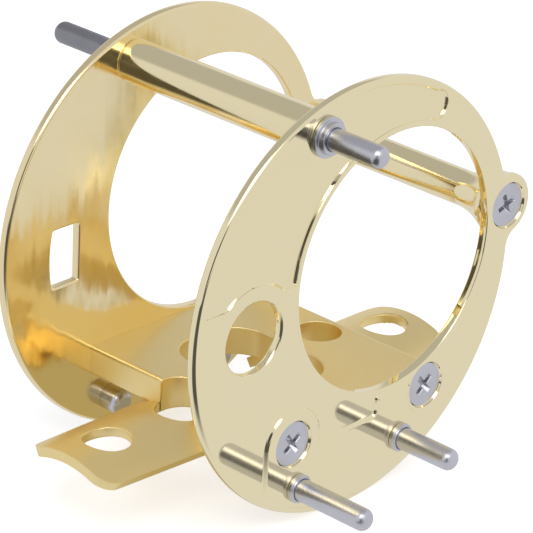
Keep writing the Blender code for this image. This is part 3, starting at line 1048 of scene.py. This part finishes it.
@dataclass
class FootBridge:
    """The milled foot: an arched strip that seats on the rod, and the saddle that joins the plates."""

    layout: Layout
    seat_radius: float = 11.46
    thickness: float = 1.2
    root_width: float = 13.5
    tip_width: float = 12.7
    front_reach: float = 16.7
    rear_reach: float = 12.25
    corner: float = 2.3
    strip_edge: float = 0.4
    saddle_underside: float = 0.2
    wing_stop: float = 0.6
    saddle_edge: float = 0.6
    front_bar: float = 5.8
    rear_bar: float = 8.8
    side_bar: float = 5.9
    window_corner: float = 4.25
    hole_radius: float = 2.7
    front_hole_inset: float = 6.0
    notch_inset: float = 0.23
    saddle_hole_inset: float = 3.6
    rear_hole_inset: float = 4.5
    cut_edge: float = 0.22
    cut_angle: float = 40.0
    strip_angle: float = 60.0
    columns: int = 48
    corner_rows: int = 12
    end_gap: float = 0.005
    front: float = field(init=False)
    rear: float = field(init=False)
    saddle_front: float = field(init=False)
    saddle_rear: float = field(init=False)

    def __post_init__(self) -> None:
        """Reads the tips of the foot, and works out where the saddle starts and ends."""
        low, high = box_mm("foot_bridge")
        self.front, self.rear = low.y, high.y
        self.saddle_front = self.front + self.front_reach
        self.saddle_rear = self.rear - self.rear_reach

    def wings(self) -> list[Loop]:
        """Rows of both wings, close together round the corners of their tips.

        Returns:
            (y, half width) of each row, wing by wing.
        """
        inset = self.tip_width / 2 - self.corner
        curve = []
        for i in range(self.corner_rows + 1):
            turn = math.pi / 2 * i / self.corner_rows
            curve.append((self.corner * (1 - math.cos(turn)), inset + self.corner * math.sin(turn)))
        front = [(self.front + back, half) for back, half in curve]
        rear = [(self.rear - back, half) for back, half in reversed(curve)]
        root = self.root_width / 2
        front += [(self.saddle_front, root), (self.saddle_front + self.front_bar - self.wing_stop, root)]
        rear = [(self.saddle_rear - self.rear_bar + self.wing_stop, root), (self.saddle_rear, root)] + rear
        return [front, rear]

    def strip(self) -> Piece:
        """The two arched wings, thickened downwards, with rounded edges; they run into the saddle's bars.

        Returns:
            The wings.
        """
        shape = bmesh.new()
        radius = self.seat_radius + self.thickness
        for wing in self.wings():
            lines = []
            for y, half in wing:
                line = []
                for i in range(self.columns + 1):
                    x = half * (2 * i / self.columns - 1)
                    height = math.sqrt(radius**2 - x**2) - self.seat_radius
                    line.append(shape.verts.new(Vector((x, y, height)) * MM))
                lines.append(line)
            for first, second in zip(lines, lines[1:]):
                for i in range(self.columns):
                    shape.faces.new((first[i], first[i + 1], second[i + 1], second[i]))
        strip = piece_from(shape, "strip", closed=False)
        strip.modifiers.clear()
        thick = strip.modifiers.new("Thickness", "SOLIDIFY")
        thick.thickness = self.thickness * MM
        thick.offset = -1
        thick.use_even_offset = True
        edge = strip.modifiers.new("Edges", "BEVEL")
        edge.width = self.strip_edge * MM
        edge.segments = EDGE_STEPS
        edge.limit_method = "ANGLE"
        edge.angle_limit = math.radians(self.strip_angle)
        made = plain_mesh(strip, "foot_bridge_piece")
        made.modifiers.clear()
        return made

    def saddle(self) -> Piece:
        """The bar from plate to plate, with rounded front and rear edges.

        Returns:
            The bar.
        """
        reach = self.layout.inner_face - self.end_gap
        low, high = self.saddle_underside, self.layout.saddle_top
        front, rear, middle = self.saddle_front, self.saddle_rear, (low + high) / 2
        upper = [(rear, middle), (rear, high), (front, high), (front, middle)]
        lower = [(front, middle), (front, low), (rear, low), (rear, middle)]
        outline = softened(upper, self.saddle_edge, False, 2 * EDGE_STEPS)
        outline += softened(lower, self.strip_edge, False)[1:-1]
        # Lays the section's own plane square to X
        across = Matrix(((0, 0, 1, 0), (1, 0, 0, 0), (0, 1, 0, 0), (0, 0, 0, 1)))
        return prism("saddle", [(outline, reach), (outline, -reach)], across)

    def window(self) -> Loop:
        """Rounded rectangle open through the saddle.

        Returns:
            Its outline, anticlockwise.
        """
        radius = self.window_corner
        side = self.layout.inner_face - self.side_bar - radius
        front = self.saddle_front + self.front_bar + radius
        rear = self.saddle_rear - self.rear_bar - radius
        line: Loop = []
        for quarter, spot in enumerate(((side, rear), (-side, rear), (-side, front), (side, front))):
            start = quarter * math.pi / 2
            line += arc(spot, radius, start, start + math.pi / 2, 4 * EDGE_STEPS)
            line += arc(spot, radius, start + math.pi / 2, start, 1)
        return line

    def build(self) -> Piece:
        """Joins the strip and the saddle, cuts the window and the holes, and rounds the cut edges.

        Returns:
            The foot bridge.
        """
        bridge = self.strip()
        combine(bridge, self.saddle(), "UNION")
        through = 2 * self.seat_radius
        cuts = [self.window()]
        for y in (
            self.front + self.front_hole_inset,
            self.saddle_front + self.notch_inset,
            self.saddle_rear - self.saddle_hole_inset,
            self.rear - self.rear_hole_inset,
        ):
            cuts.append(circle((0.0, y), self.hole_radius))
        for i, loop in enumerate(cuts):
            combine(bridge, prism(f"cut_{i}", [(loop, through), (loop, -through)], Matrix.Identity(4)))
        self.mark(bridge)
        edge = bridge.modifiers.new("Cut edges", "BEVEL")
        edge.width = self.cut_edge * MM
        edge.segments = EDGE_STEPS
        edge.limit_method = "WEIGHT"
        edge.use_clamp_overlap = False
        return plain_mesh(bridge, "foot_and_saddle")

    def mark(self, bridge: Piece) -> None:
        """Marks the outward edges that the cuts left, other than those against the plates, for rounding.

        Args:
            bridge: The foot bridge, cut.
        """
        shape = bmesh.new()
        shape.from_mesh(bridge.data)
        bmesh.ops.remove_doubles(shape, verts=shape.verts, dist=WELD)
        weight = shape.edges.layers.float.new("bevel_weight_edge")
        end = (self.layout.inner_face - 2 * self.end_gap) * MM
        limit = math.radians(self.cut_angle)
        for edge in shape.edges:
            if len(edge.link_faces) == 2 and any(abs(vertex.co.x) < end for vertex in edge.verts):
                edge[weight] = float(edge.calc_face_angle_signed() > limit)
        shape.to_mesh(bridge.data)
        shape.free()

    def dress(self) -> None:
        """Builds and finishes the foot bridge."""
        settle(self.build(), Metal.SATIN_GOLD, "foot_bridge")


@dataclass
class Pillars:
    """The two pillars that hold the plates apart."""

    layout: Layout
    end_gap: float = 0.02
    edge: float = 0.2
    face_start: float = 0.1
    half_middle: float = 0.5
    waist_radius: float = 2.1
    flare_length: float = 5.2
    flare_lip: float = 0.8
    flare_bend: float = 1.8
    flare_steps: int = 32

    def dress(self) -> None:
        """Builds and finishes both pillars."""
        end = self.layout.inner_face - self.end_gap
        for node, half in (("top_pillar", self.plain), ("rear_pillar", self.flared)):
            upper = half(radius_of(node), end)
            profile = upper + [(radius, -height) for radius, height in reversed(upper)]
            settle(turned(f"{node}_piece", profile, Lie.on(node, 0.0, 1)), Metal.BUFFED_GOLD, node)

    def plain(self, radius: float, end: float) -> Loop:
        """Upper half of the plain pillar's profile."""
        corners = [(self.face_start, end), (radius, end), (radius, self.half_middle)]
        return [(0.0, end)] + softened(corners, self.edge, False)

    def flared(self, radius: float, end: float) -> Loop:
        """Upper half of the rear pillar's profile, which swells like a bell to meet the plate.

        Args:
            radius: Radius of its ends.
            end: Height of its end.

        Returns:
            (radius, height) points from the end's middle to the waist.
        """
        length = self.flare_length - self.flare_lip
        flare = radius - self.waist_radius
        line: Loop = [(0.0, end), (radius - self.edge / 2, end), (radius, end - self.edge / 2)]
        for i in range(self.flare_steps + 1):
            share = i / self.flare_steps
            swell = (1 - share) ** self.flare_bend
            line.append((self.waist_radius + flare * swell, end - self.flare_lip - length * share))
        return line


@dataclass
class CoverStuds:
    """The studs that carry a side cover: one on the top pillar, two on the lower edge of the plate."""

    plate: SidePlate
    tip_round: float = 0.95
    top_stud_trim: float = 1.0
    pitch: float = 0.4
    thread_depth: float = 0.05
    threaded_share: float = 0.6
    shank_slack: float = 0.03
    collar_thickness: float = 0.5
    collar_trim: float = 0.15
    collar_shoulder_radius: float = 1.8
    collar_shoulder: float = 1.2
    flange_trim: float = 0.35
    flange_thickness: float = 0.95
    shoulder_height: float = 1.15
    shoulder_radius: float = 1.5
    seat_gap: float = 0.02
    nut_dome: float = 0.9
    crisp: float = 0.12

    def outwards(self, node: str) -> Lie:
        """Lies on a node's axis and points out of the plate's outer face."""
        way = self.plate.side.value
        return Lie.on(node, way * self.plate.layout.outer_face, way)

    def stud(self, node: str, radius: float, foot: float) -> Piece:
        """A stud with a rounded tip; those of the left side carry a thread on their outer stretch.

        Args:
            node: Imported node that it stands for.
            radius: Radius of its shank.
            foot: Height of its inner end.

        Returns:
            The stud.
        """
        low, high = box_mm(node)
        reach = max(abs(low.x), abs(high.x)) - self.plate.layout.outer_face
        if node == "right_top_stud":
            reach -= self.top_stud_trim
        top = reach - self.tip_round
        profile = domed(radius, reach, self.tip_round)
        thread = None
        if self.plate.side is Side.LEFT:
            thread = Thread(self.pitch, self.thread_depth, top - self.threaded_share * reach, top)
            profile += [(radius, height) for height in thread.heights()[1:]]
        profile += [(radius, foot), (0.0, foot)]
        return turned(f"{node}_piece", profile, self.outwards(node), thread)

    def collar(self, node: str, seat: float, bore: float, steps: tuple[Pair, Pair]) -> Piece:
        """A flanged collar round a stud.

        Args:
            node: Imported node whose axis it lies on.
            seat: Height of the face that it sits on.
            bore: Radius of its bore.
            steps: (radius, height) of its flange and of its shoulder, from the seat.

        Returns:
            The collar.
        """
        (flange, low), (shoulder, high) = steps
        line = [(bore, seat + high), (shoulder, seat + high), (shoulder, seat + low), (flange, seat + low)]
        line += [(flange, seat), (bore, seat)]
        profile = softened(line, self.crisp, True)
        return turned(f"{node}_collar_piece", profile, self.outwards(node), closed=True)

    def dress(self) -> None:
        """Builds and finishes the three studs of one side, their collars and their nuts."""
        word, steel = self.plate.side.word, Metal.TURNED_STEEL
        # Left studs take the steel whose darker colour is painted shade for their threads
        shank = steel if self.plate.side is Side.RIGHT else Metal.THREADED_STEEL
        top = f"{word}_top_stud"
        radius = radius_of(top)
        bore = radius + self.shank_slack
        depth = self.plate.recess_depth if self.plate.side is Side.RIGHT else 0.0
        pad = self.plate.pad
        settle(self.stud(top, radius, -depth), shank, top)
        collar = f"{word}_top_collar"
        flange = (radius_of(collar) - self.collar_trim, self.collar_thickness)
        steps = (flange, (self.collar_shoulder_radius, self.collar_shoulder))
        settle(self.collar(top, self.seat_gap - depth, bore, steps), steel, collar)
        for place in ("front", "rear"):
            node = f"{word}_{place}_stud"
            settle(self.stud(node, radius, pad), shank, node)
            flange = (radius_of(node) - self.flange_trim, self.flange_thickness - pad)
            shoulder = (self.shoulder_radius, self.shoulder_height - pad)
            settle(self.collar(node, self.seat_gap + pad, bore, (flange, shoulder)), steel)
            self.nut(f"{node}_nut")

    def nut(self, node: str) -> None:
        """Builds and finishes the round domed nut of a lower stud, on the plate's inner face.

        Args:
            node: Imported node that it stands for.
        """
        low, high = box_mm(node)
        length = self.plate.layout.inner_face - min(abs(low.x), abs(high.x))
        radius = radius_of(node)
        profile = domed(radius, length, self.nut_dome) + [(radius, self.seat_gap), (0.0, self.seat_gap)]
        lie = Lie.on(node, self.plate.side.value * self.plate.layout.inner_face, -self.plate.side.value)
        settle(turned(f"{node}_piece", profile, lie), Metal.TURNED_STEEL, node)


@dataclass
class CrossScrew:
    """A countersunk screw with a cross recess."""

    plate: SidePlate
    place: ScrewPlace
    head_depth: float = 0.7
    shank_radius: float = 1.1
    crisp: float = 0.08
    arm: float = 1.35
    arm_half_width: float = 0.30
    recess_depth: float = 0.75
    floor_share: float = 0.6
    mouth: float = 0.07

    def cross(self, share: float, spread: float) -> Loop:
        """Outline of the cross recess at one depth.

        Args:
            share: Share of its length at the mouth.
            spread: How far it is widened all round.

        Returns:
            The outline, anticlockwise.
        """
        arm = self.arm * share + spread
        half = self.arm_half_width * (0.5 + share / 2) + spread
        corners: Loop = []
        for quarter in range(4):
            turn = Matrix.Rotation(quarter * math.pi / 2, 2)
            for corner in ((half, half), (half, arm), (-half, arm)):
                point = turn @ Vector(corner)
                corners.append((point.x, point.y))
        return softened(corners, half / 3, True)

    def dress(self) -> None:
        """Builds, cuts and finishes the screw."""
        way = self.plate.side.value
        node = self.place.node(self.plate.side)
        top = self.plate.layout.outer_face - self.plate.screw_face(self.place) - self.plate.screw_sink
        tail = top - self.plate.layout.inner_face
        head = [(0.0, 0.0), (radius_of(node), 0.0), (self.shank_radius, -self.head_depth)]
        profile = softened(head, self.crisp, False)
        profile += [(self.shank_radius, -tail), (0.0, -tail)]
        lie = Lie.on(node, way * top, way)
        screw = turned(f"{node}_piece", profile, lie)
        screw.modifiers.clear()
        out = Vector((way, 0.0, 0.0)).to_track_quat("Z", "Y")
        place = Matrix.Translation(Vector((lie.x, lie.y, lie.z))) @ out.to_matrix().to_4x4()
        place = place @ Matrix.Rotation(math.radians(self.place.value), 4, "Z")
        loops = [
            (self.cross(1.0, 3 * self.mouth), 2 * self.mouth),
            (self.cross(1.0, 0.0), -self.mouth),
            (self.cross(self.floor_share, 0.0), -self.recess_depth),
        ]
        combine(screw, prism("cross_cutter", loops, place))
        settle(plain_mesh(screw, f"{node}_piece"), Metal.TURNED_STEEL, node)


@dataclass(frozen=True)
class Softbox:
    """A square lamp that points at the frame, with its power in watts."""

    name: str
    place: Place
    size: float
    watts: float

    def hang(self, aim: Vector) -> None:
        """Hangs the lamp.

        Args:
            aim: Point that it shines at.
        """
        data = bpy.data.lights.new(self.name, "AREA")
        data.size = self.size * MM
        data.energy = self.watts
        lamp = bpy.data.objects.new(self.name, data)
        bpy.context.scene.collection.objects.link(lamp)
        lamp.location = Vector(self.place) * MM
        lamp.rotation_euler = (aim * MM - lamp.location).to_track_quat("-Z", "Y").to_euler()


@dataclass
class Studio:
    """Floor, light and camera; a pair of patch values is where a patch starts and where it is full."""

    layout: Layout
    camera_aim: Place = (6.877, -5.740, 18.975)
    camera_azimuth: float = 43.106
    camera_elevation: float = 24.160
    camera_roll: float = 2.598
    camera_distance: float = 370.75
    lens: float = 231.2
    sensor: float = 36.0
    clip: Pair = (10.0, 100000.0)
    floor_size: float = 6000.0
    paper_white: float = 0.8
    paper_glow: float = 0.6
    paper_in_metal: float = 0.745
    paper_dim: float = 0.09
    dim_sector: Pair = (0.75, 0.92)
    dim_near: Pair = (30.0, 52.0)
    shade: str = "#B5A87E"
    shade_half: Pair = (15.5, 26.0)
    shade_fade: Pair = (1.05, 0.8)
    room: float = 0.75
    room_above: float = 0.48
    room_dark: float = 0.08
    above: Place = (-0.4, 0.1, 0.91)
    above_patch: Pair = (0.60, 0.76)
    dark_rise: float = 0.25
    dark_patch: Pair = (0.945, 0.98)
    softboxes: tuple[Softbox, ...] = (
        Softbox("front_softbox", (150.0, -200.0, 320.0), 200.0, 0.3),
        Softbox("side_softbox", (296.0, -84.0, 270.0), 150.0, 0.09),
    )

    def facing(self, rise: float) -> Vector:
        """Way from the frame towards the camera, with this rise."""
        turn = math.radians(self.camera_azimuth)
        return Vector((math.sin(turn), -math.cos(turn), rise))

    def camera(self) -> None:
        """Sets the camera at the photograph's angle."""
        data = bpy.data.cameras.new("camera")
        data.lens = self.lens
        data.sensor_width = self.sensor
        data.clip_start, data.clip_end = (reach * MM for reach in self.clip)
        camera = bpy.data.objects.new("camera", data)
        bpy.context.scene.collection.objects.link(camera)
        turn = math.radians(self.camera_azimuth)
        rise = math.radians(self.camera_elevation)
        look = Vector((-math.sin(turn) * math.cos(rise), math.cos(turn) * math.cos(rise), -math.sin(rise)))
        roll = Matrix.Rotation(math.radians(self.camera_roll), 3, "Z").to_quaternion()
        camera.rotation_euler = (look.to_track_quat("-Z", "Y") @ roll).to_euler()
        camera.location = (Vector(self.camera_aim) - look * self.camera_distance) * MM
        bpy.context.scene.camera = camera

    def floor(self) -> None:
        """Lays a white paper floor that looks grey in the metal and keeps a faint shadow."""
        ground = (self.layout.axis_height - self.layout.plate_radius) * MM
        shape = bmesh.new()
        bmesh.ops.create_grid(shape, x_segments=1, y_segments=1, size=self.floor_size / 2 * MM)
        bmesh.ops.translate(shape, vec=(0, 0, ground), verts=shape.verts)
        mesh = bpy.data.meshes.new("floor")
        shape.to_mesh(mesh)
        shape.free()
        floor = bpy.data.objects.new("floor", mesh)
        bpy.context.scene.collection.objects.link(floor)
        mesh.materials.append(self.paper())

    def paper(self) -> bpy.types.Material:
        """White paper: plain to the camera; in the metal dim in front of the frame and warm below it.

        Returns:
            The material.
        """
        paper = bpy.data.materials.new("white_paper_sweep")
        paper.use_nodes = True
        tree = paper.node_tree
        tree.nodes.clear()
        add = partial(add_node, tree)
        path = add("LightPath").outputs
        diffuse = add("BsdfDiffuse", inputs={"Color": grey(self.paper_white)})
        glow = add("Emission", inputs={"Color": grey(self.paper_glow), "Strength": path["Is Camera Ray"]})
        lit = add("AddShader", inputs={0: diffuse.outputs[0], 1: glow.outputs[0]})
        place = add("NewGeometry").outputs["Position"]
        way = add("VectorMath", {"operation": "NORMALIZE"}, {0: place}).outputs["Vector"]
        sector = self.patch(tree, way, self.facing(0.0), self.dim_sector)
        near = tuple(reach * MM for reach in self.dim_near)
        far = self.patch(tree, place, self.facing(0.0), near)
        dim = add("Math", {"operation": "MULTIPLY"}, {0: sector, 1: far}).outputs["Value"]
        spans = tuple(1 / (half * MM) for half in self.shade_half) + (0.0,)
        across = add("VectorMath", {"operation": "MULTIPLY"}, {0: place, 1: spans}).outputs["Vector"]
        away = add("VectorMath", {"operation": "LENGTH"}, {0: across}).outputs["Value"]
        fade = {FROM_LOW: self.shade_fade[0], FROM_HIGH: self.shade_fade[1], TO_LOW: 0.0, TO_HIGH: 1.0}
        smooth = add("MapRange", {"interpolation_type": "SMOOTHSTEP"}, {"Value": away, **fade})
        under = smooth.outputs["Result"]
        tone: Colour | Socket = cool(self.paper_in_metal)
        for cover, colour in ((dim, cool(self.paper_dim)), (under, linear(self.shade))):
            layer = add("Mix", {"data_type": "RGBA"}, {"Factor": cover, "A": tone, "B": colour})
            tone = layer.outputs["Result"]
        mirrored = add("Emission", inputs={"Color": tone})
        mix = {0: path["Is Glossy Ray"], 1: lit.outputs[0], 2: mirrored.outputs[0]}
        either = add("MixShader", inputs=mix)
        add("OutputMaterial", inputs={"Surface": either.outputs[0]})
        return paper

    def world(self) -> None:
        """White to the camera; in the metal a grey room, darker overhead and behind the camera."""
        world = bpy.data.worlds.new("studio")
        bpy.context.scene.world = world
        world.use_nodes = True
        tree = world.node_tree
        tree.nodes.clear()
        add = partial(add_node, tree)
        way = add("TexCoord").outputs["Generated"]
        above = self.patch(tree, way, Vector(self.above), self.above_patch)
        dark = self.patch(tree, way, self.facing(self.dark_rise).normalized(), self.dark_patch)
        seen = add("LightPath").outputs["Is Camera Ray"]
        tone: Colour | Socket = cool(self.room)
        layers = ((above, cool(self.room_above)), (dark, cool(self.room_dark)), (seen, grey(1.0)))
        for cover, colour in layers:
            layer = add("Mix", {"data_type": "RGBA"}, {"Factor": cover, "A": tone, "B": colour})
            tone = layer.outputs["Result"]
        sky = add("Background", inputs={"Color": tone})
        add("OutputWorld", inputs={"Surface": sky.outputs[0]})

    @staticmethod
    def patch(tree: Tree, way: Socket, middle: Vector, span: Pair) -> Socket:
        """A socket that rises from nothing to one, towards the middle of a patch of the surroundings.

        Args:
            tree: Node tree of the material or the world.
            way: Socket with a way or a place.
            middle: Way to the middle of the patch.
            span: How far along that way the patch starts and is full.

        Returns:
            Socket with the share.
        """
        facing = add_node(tree, "VectorMath", {"operation": "DOT_PRODUCT"}, {0: way, 1: middle})
        ends = {FROM_LOW: span[0], FROM_HIGH: span[1], TO_LOW: 0.0, TO_HIGH: 1.0}
        values = {"Value": facing.outputs["Value"], **ends}
        return add_node(tree, "MapRange", {"interpolation_type": "SMOOTHSTEP"}, values).outputs["Result"]

    def dress(self) -> None:
        """Sets up the whole studio."""
        bpy.context.scene.view_settings.view_transform = "Standard"
        self.camera()
        self.floor()
        self.world()
        for softbox in self.softboxes:
            softbox.hang(Vector((0.0, 0.0, self.layout.axis_height)))


def main() -> None:
    """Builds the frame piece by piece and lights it."""
    logging.basicConfig(level=logging.INFO, format="%(name)s: %(message)s")
    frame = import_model()
    LOG.info("%d packed nodes", len(frame["nodes"]))
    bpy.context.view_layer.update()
    layout = Layout.read()
    FootBridge(layout).dress()
    Pillars(layout).dress()
    for side in Side:
        plate = SidePlate(layout, side)
        plate.dress()
        CoverStuds(plate).dress()
        for place in ScrewPlace:
            CrossScrew(plate, place).dress()
    Studio(layout).dress()


if __name__ == "__main__":
    main()
